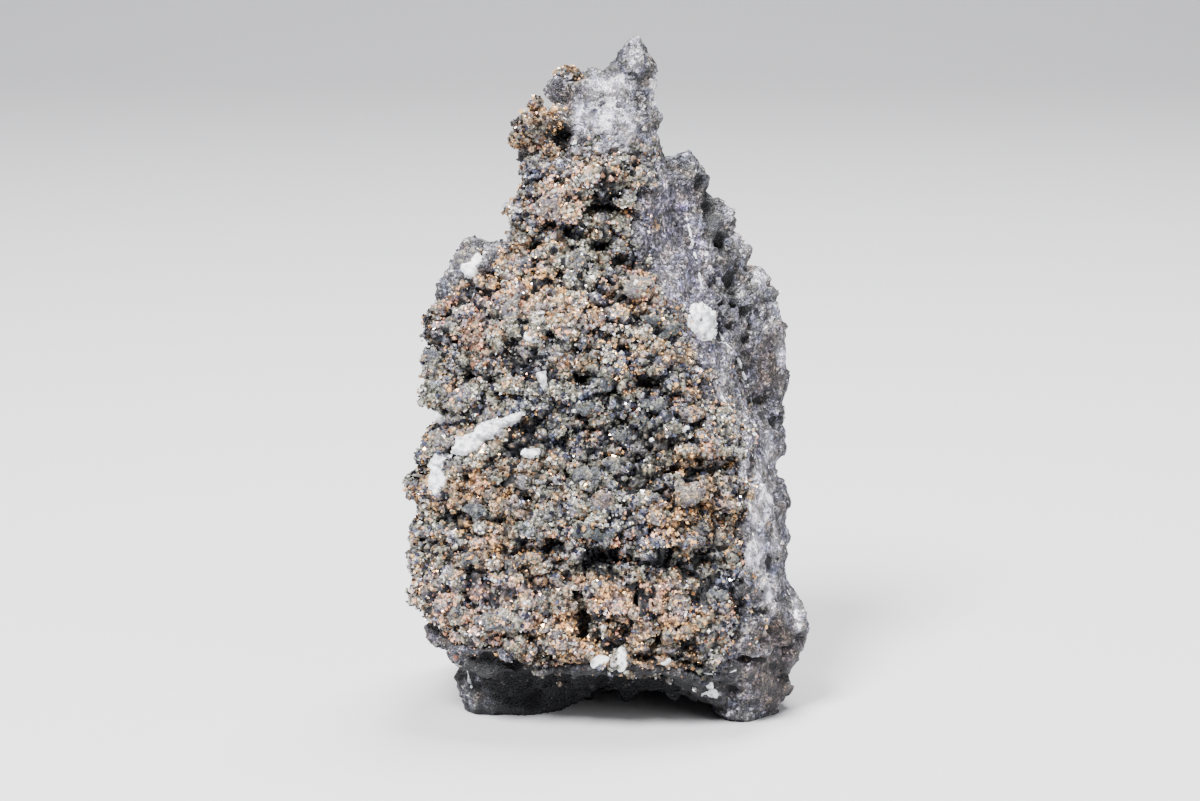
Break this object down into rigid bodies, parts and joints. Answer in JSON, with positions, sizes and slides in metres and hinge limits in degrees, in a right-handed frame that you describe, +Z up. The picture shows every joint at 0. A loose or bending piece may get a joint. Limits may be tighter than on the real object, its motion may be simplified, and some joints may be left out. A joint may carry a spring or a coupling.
{
  "type": "native silver specimen",
  "caption": "Rugged upright piece of grey rock with a crust of tarnished native silver crystals and white spar over its front, standing on its own broken base.",
  "frame": {"origin": "on the surface the specimen stands on, under the middle of its box", "axes": "+Z up along the specimen's height, -Y out of the silver-crusted front, +X to the right as the front is seen"},
  "size_m": [0.0262, 0.0194, 0.0435],
  "materials": {
    "host_rock": "rough",
    "silver_crust": "rough",
    "white_spar": "satin"
  },
  "bodies": {
    "root": {"native_silver_specimen": "host_rock"}
  },
  "joints": []
}
